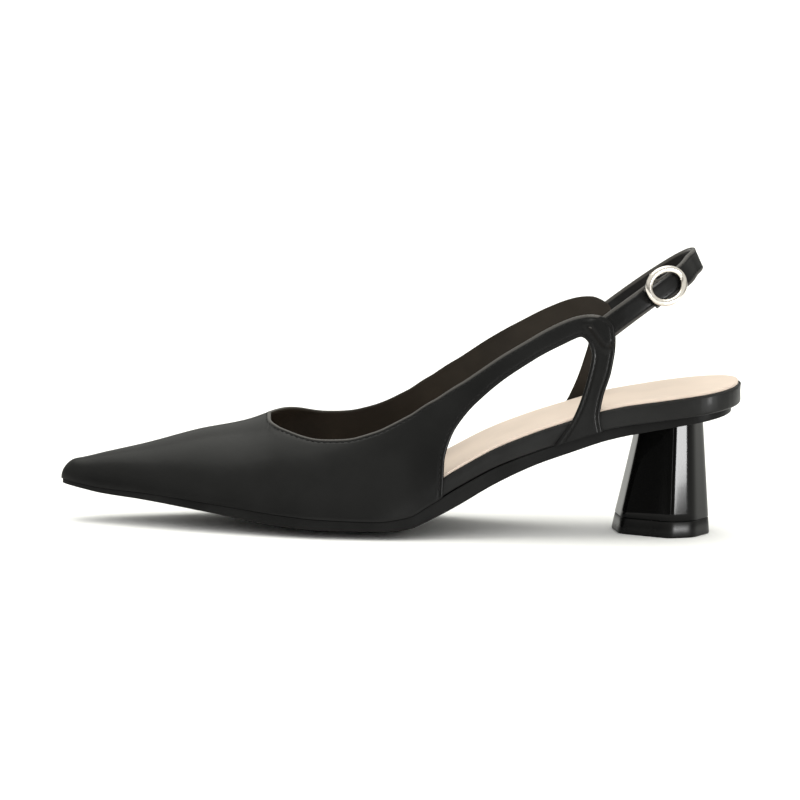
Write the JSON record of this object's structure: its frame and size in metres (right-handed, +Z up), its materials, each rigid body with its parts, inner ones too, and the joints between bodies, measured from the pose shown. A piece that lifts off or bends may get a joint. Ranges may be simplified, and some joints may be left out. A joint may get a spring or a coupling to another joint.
{
  "type": "slingback high heel shoe",
  "caption": "Pointed-toe slingback pump in smooth leather with cut-out sides, a round buckle on the outer side and a faceted block heel.",
  "frame": {"origin": "centre of the heel tip's bottom face, on the floor", "axes": "+X towards the heel, -X towards the toe, -Y towards the outer side, +Z up"},
  "size_m": [0.258, 0.0742, 0.1095],
  "materials": {
    "upper_leather": "smooth semi-matte",
    "strap_leather": "smooth semi-matte",
    "board_wrap": "smooth satin",
    "sock_leather": "matte",
    "sole_rubber": "matte",
    "heel_lacquer": "high gloss",
    "tip_rubber": "satin",
    "buckle_metal": "polished pale metal"
  },
  "bodies": {
    "root": {"outsole": "sole_rubber", "insole_board": "board_wrap", "insole_sock": "sock_leather", "upper": "upper_leather", "heel_block": "heel_lacquer", "heel_tip": "tip_rubber", "sling_strap": "strap_leather", "buckle_stay": "strap_leather", "buckle_ring": "buckle_metal"}
  },
  "joints": []
}
